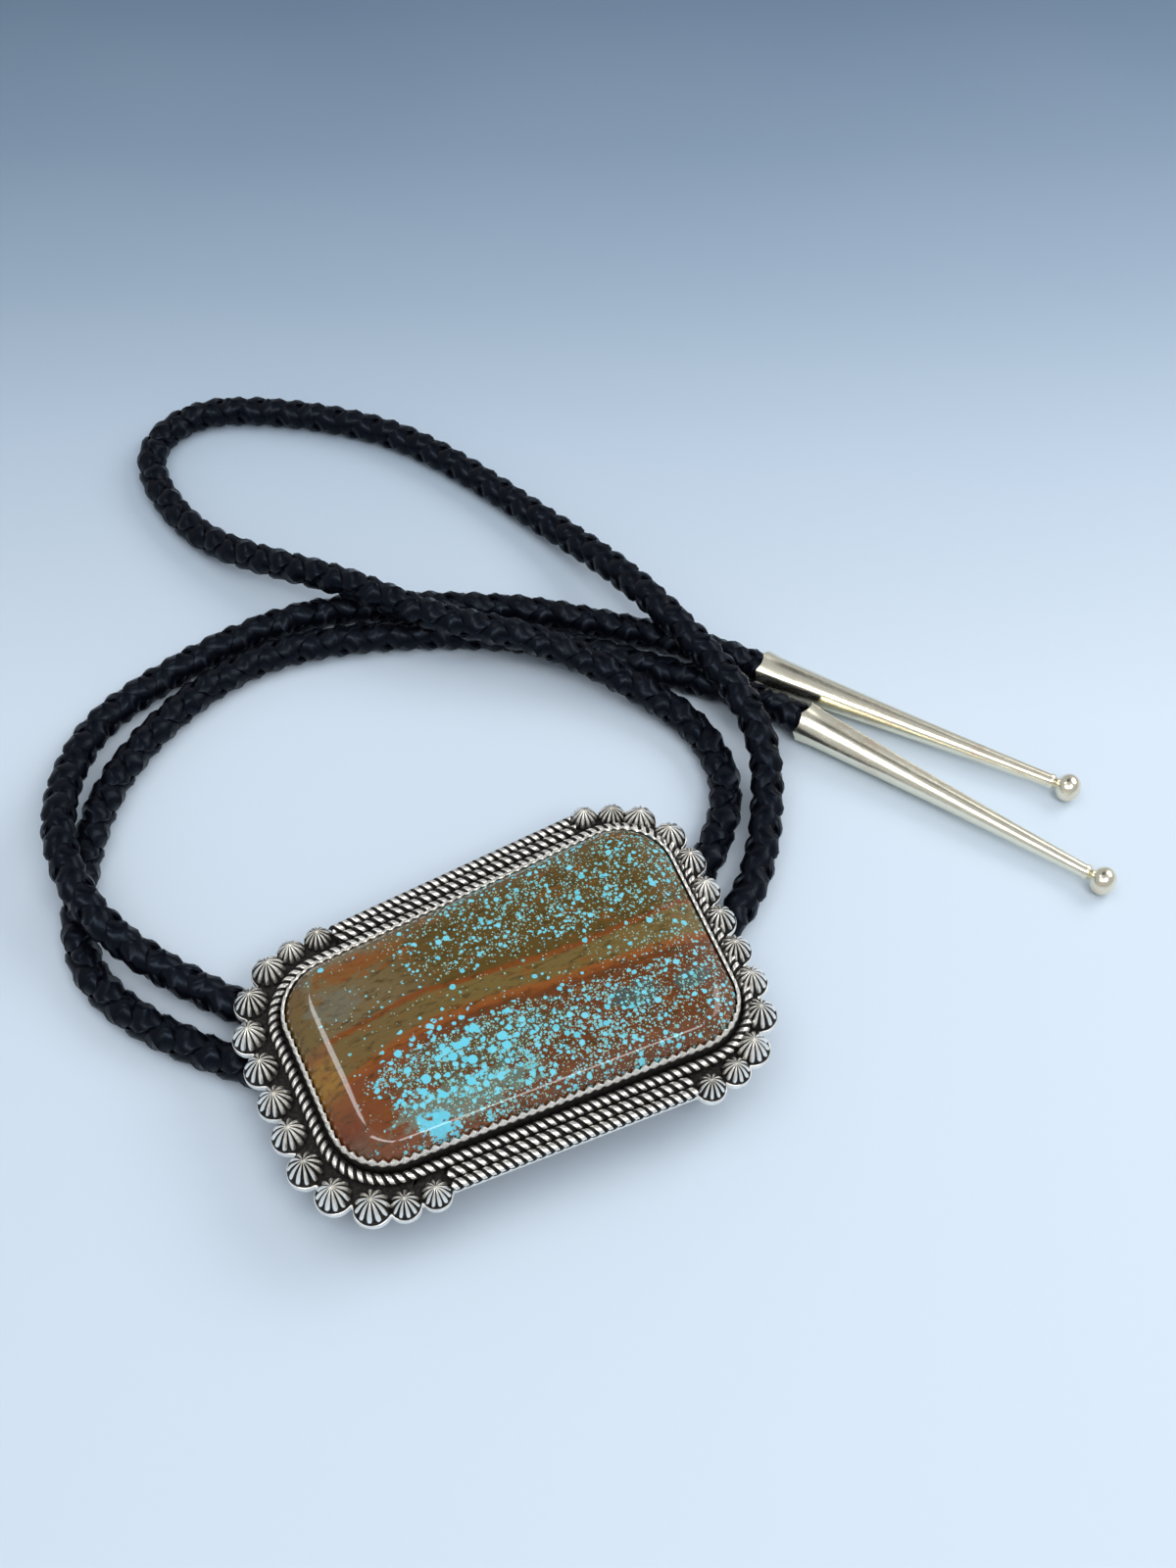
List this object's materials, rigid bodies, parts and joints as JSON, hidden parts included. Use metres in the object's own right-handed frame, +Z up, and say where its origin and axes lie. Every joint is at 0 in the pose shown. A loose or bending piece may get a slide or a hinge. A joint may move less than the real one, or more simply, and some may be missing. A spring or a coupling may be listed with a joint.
{
  "type": "bolo tie",
  "caption": "Bolo tie: a soldered silver slide with a large polished stone, on a braided leather cord with cone tips, lying in a ring on a table.",
  "frame": {"origin": "middle of the slide's box, on the surface that the slide rests on", "axes": "+X along the slide's long axis towards its wider end, +Y towards the ring of cord, +Z up out of the stone"},
  "size_m": [0.1801, 0.2022, 0.0167],
  "materials": {
    "silver": "polished silver with blackened recesses",
    "clasp_metal": "plain satin metal",
    "stone": "polished, olive and rust brown with turquoise blue specks",
    "leather": "black braided leather, soft sheen"
  },
  "bodies": {
    "root": {"setting": "silver", "cabochon": "stone", "cord_clasp": "clasp_metal", "cord": "leather", "tip_a": "silver", "tip_b": "silver"}
  },
  "joints": []
}
